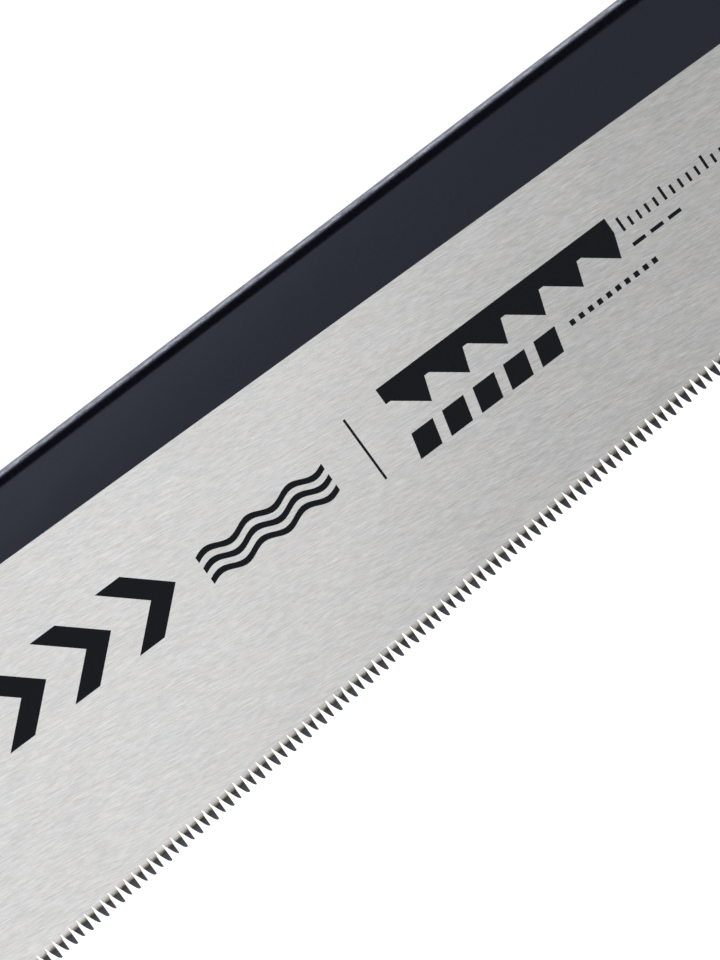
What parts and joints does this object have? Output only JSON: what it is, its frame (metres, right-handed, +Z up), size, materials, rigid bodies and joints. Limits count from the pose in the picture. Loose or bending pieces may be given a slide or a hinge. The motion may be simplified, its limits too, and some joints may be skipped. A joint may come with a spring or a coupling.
{
  "type": "back saw",
  "caption": "Pull-stroke back saw: thin toothed blade in a folded steel back, clamped by a thumb screw in a long cane-bound handle.",
  "frame": {"origin": "middle of the footprint of the saw lying on its side, on the surface that it lies on", "axes": "+X from the toe of the blade to the butt of the handle, +Y from the teeth to the back, +Z up, square to the blade"},
  "size_m": [0.6, 0.069, 0.026],
  "materials": {
    "blade_steel": "fine brushed spring steel, tooth tips tempered blue-black",
    "back_paint": "satin black-blue paint over folded steel",
    "holder_paint": "satin black",
    "pad_plastic": "matte",
    "plain_steel": "turned",
    "knob_metal": "satin, fluted",
    "ferrule_plastic": "black, lightly worn",
    "core_wood": "bare softwood",
    "cane": "split cane, low sheen",
    "binding_cord": "waxed black cord",
    "eyelet_brass": "worn"
  },
  "bodies": {
    "handle": {"holder": "holder_paint", "clamp_pad_upper": "pad_plastic", "clamp_pad_lower": "pad_plastic", "stop_pin": "plain_steel", "clamp_nut": "plain_steel", "ferrule": "ferrule_plastic", "ferrule_pin": "plain_steel", "handle_core": "core_wood", "holder_rivets": "plain_steel", "front_binding": "binding_cord", "cane_wrap": "cane", "rear_binding": "binding_cord", "butt_cap": "ferrule_plastic", "butt_cap_pin": "plain_steel", "hang_eyelet": "eyelet_brass"},
    "saw_blade": {"blade": "blade_steel", "back": "back_paint"},
    "captive_washer": {"knob_washer": "plain_steel"},
    "clamp_knob": {"thumb_knob": "knob_metal", "clamp_screw": "plain_steel"}
  },
  "joints": [
    {"name": "blade_slide", "type": "slide", "parent": "handle", "child": "saw_blade", "axis": [-1, 0, 0], "range_m": [0, 0.062]},
    {"name": "knob_lift", "type": "slide", "parent": "handle", "child": "captive_washer", "axis": [0, 0, 1], "range_m": [0, 0.0024]},
    {"name": "knob_spin", "type": "hinge", "parent": "captive_washer", "child": "clamp_knob", "pos_m": [-0.014, 0.0099, 0.0179], "axis": [0, 0, 1], "range_deg": [0, 1080]}
  ],
  "couplings": [
    {"joint": "knob_lift", "follows": "knob_spin", "m_per_rad": 0.00012732}
  ]
}
